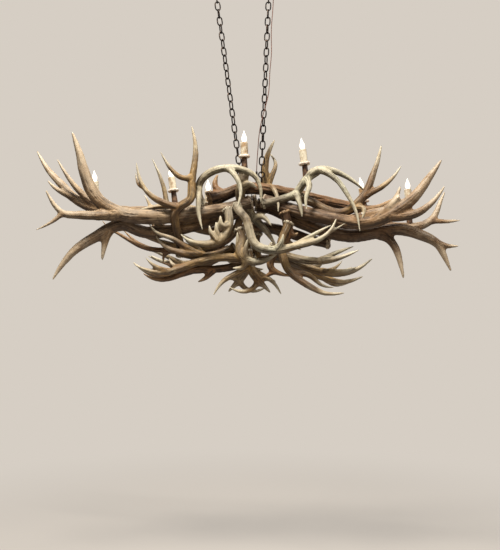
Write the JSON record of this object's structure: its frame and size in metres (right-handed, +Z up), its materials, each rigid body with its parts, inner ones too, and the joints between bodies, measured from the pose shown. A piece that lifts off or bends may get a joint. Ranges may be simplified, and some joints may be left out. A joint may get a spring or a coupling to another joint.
{
  "type": "antler chandelier",
  "caption": "Oblong chandelier of interlaced elk and mule deer antlers with candle lights, hung on two chains from an oblong ceiling canopy.",
  "frame": {"origin": "middle of the mounting strap's upper face, in the plane where the canopy's rim meets the ceiling", "axes": "+Z up into the ceiling, X along the chandelier's long side, -Y towards the front seen in the picture"},
  "size_m": [2.2468, 0.4996, 1.5983],
  "materials": {
    "elk_antler": "aged elk antler, warm tan with dark grooves and cream tines",
    "mule_antler": "weathered mule deer antler, cream to sage with ivory tips",
    "dark_antler": "dark bark-brown antler base",
    "dark_bronze_steel": "dark bronze painted steel",
    "chain_steel": "black-bronze chain",
    "cord": "reddish brown jacket",
    "screw_steel": "plain steel",
    "stem_antler": "turned antler stem",
    "pipe_steel": "threaded steel pipe",
    "pan_antler": "sliced antler disc",
    "socket_shell": "moulded lamp socket",
    "candle_sleeve": "ivory candle sleeve with drips",
    "bulb_glass": "flame-tip lamp on a screw base"
  },
  "bodies": {
    "ceiling": {"mounting_strap": "dark_bronze_steel", "ceiling_canopy": "dark_bronze_steel", "ceiling_loops": "dark_bronze_steel", "strap_nuts": "dark_bronze_steel", "canopy_collars": "dark_bronze_steel", "upper_cord_nipple": "dark_bronze_steel"},
    "chains": {"chain_left": "chain_steel", "chain_right": "chain_steel", "lamp_cord": "cord"},
    "fixture": {"elk_antler_spine": "dark_antler", "elk_antler_left_front": "elk_antler", "elk_antler_right_front": "elk_antler", "elk_antler_left_lower": "elk_antler", "elk_antler_right_lower": "elk_antler", "elk_antler_left_back": "elk_antler", "elk_antler_right_back": "elk_antler", "elk_antler_centre_low": "elk_antler", "mule_antler_left_top": "mule_antler", "mule_antler_left_rear": "mule_antler", "mule_antler_left_arch": "mule_antler", "mule_antler_centre_right": "mule_antler", "mule_antler_centre_post": "mule_antler", "mule_antler_right_arch": "mule_antler", "mule_antler_right_top": "mule_antler", "mule_antler_front_centre": "mule_antler", "mule_antler_front_left": "mule_antler", "mule_antler_bowl": "mule_antler", "mule_antler_low_left_front": "mule_antler", "mule_antler_low_left_dark": "dark_antler", "mule_antler_low_left_upper": "mule_antler", "mule_antler_left_thin": "dark_antler", "mule_antler_left_middle": "mule_antler", "mule_antler_bottom_centre": "mule_antler", "mule_antler_bottom_right": "dark_antler", "mule_antler_right_upper_basket": "mule_antler", "mule_antler_right_middle_basket": "mule_antler", "mule_antler_right_low_basket": "mule_antler", "mule_antler_right_bottom": "mule_antler", "mule_antler_rear_centre": "mule_antler", "mule_antler_rear_low_right": "mule_antler", "mule_antler_rear_upper_left": "mule_antler", "mule_antler_rear_low_left": "mule_antler", "mule_antler_rear_bottom": "mule_antler", "mule_antler_rear_bowl": "mule_antler", "eye_bolts": "dark_bronze_steel", "eye_bolt_nuts": "dark_bronze_steel", "lower_cord_nipple": "dark_bronze_steel", "fixing_screws": "screw_steel", "candle_stems": "stem_antler", "lamp_pipes": "pipe_steel", "drip_pans": "pan_antler", "candle_sockets": "socket_shell", "candle_sleeves": "candle_sleeve"},
    "bulb_1": {"bulb_1": "bulb_glass"},
    "bulb_2": {"bulb_2": "bulb_glass"},
    "bulb_3": {"bulb_3": "bulb_glass"},
    "bulb_4": {"bulb_4": "bulb_glass"},
    "bulb_5": {"bulb_5": "bulb_glass"},
    "bulb_6": {"bulb_6": "bulb_glass"},
    "bulb_7": {"bulb_7": "bulb_glass"}
  },
  "joints": [
    {"name": "chain_swing", "type": "hinge", "parent": "ceiling", "child": "chains", "pos_m": [0, 0, -0.071], "axis": [1, 0, 0], "range_deg": [-12, 12]},
    {"name": "fixture_rock", "type": "hinge", "parent": "chains", "child": "fixture", "pos_m": [0.09507, 0, -0.97601], "axis": [0.9976, 0, -0.0689], "range_deg": [-8, 8]},
    {"name": "bulb_1_turn", "type": "hinge", "parent": "fixture", "child": "bulb_1", "pos_m": [-0.77093, 0.16, -0.99101], "axis": [-0.0683, -0.0205, 0.9975], "range_deg": [0, 1080]},
    {"name": "bulb_2_turn", "type": "hinge", "parent": "fixture", "child": "bulb_2", "pos_m": [-0.36093, 0.07, -0.98701], "axis": [-0.1413, 0.0385, 0.9892], "range_deg": [0, 1080]},
    {"name": "bulb_3_turn", "type": "hinge", "parent": "fixture", "child": "bulb_3", "pos_m": [-0.17693, 0.12, -1.047], "axis": [-0.0345, 0.0258, 0.9991], "range_deg": [0, 1080]},
    {"name": "bulb_4_turn", "type": "hinge", "parent": "fixture", "child": "bulb_4", "pos_m": [0.00907, -0.042, -0.836], "axis": [-0.0146, -0.0219, 0.9997], "range_deg": [0, 1080]},
    {"name": "bulb_5_turn", "type": "hinge", "parent": "fixture", "child": "bulb_5", "pos_m": [0.29507, -0.075, -0.88101], "axis": [-0.1176, -0.0065, 0.993], "range_deg": [0, 1080]},
    {"name": "bulb_6_turn", "type": "hinge", "parent": "fixture", "child": "bulb_6", "pos_m": [0.62507, 0.19, -1.021], "axis": [-0.1439, -0.018, 0.9894], "range_deg": [0, 1080]},
    {"name": "bulb_7_turn", "type": "hinge", "parent": "fixture", "child": "bulb_7", "pos_m": [0.87107, 0.206, -1.023], "axis": [-0.0297, 0.0297, 0.9991], "range_deg": [0, 1080]}
  ]
}
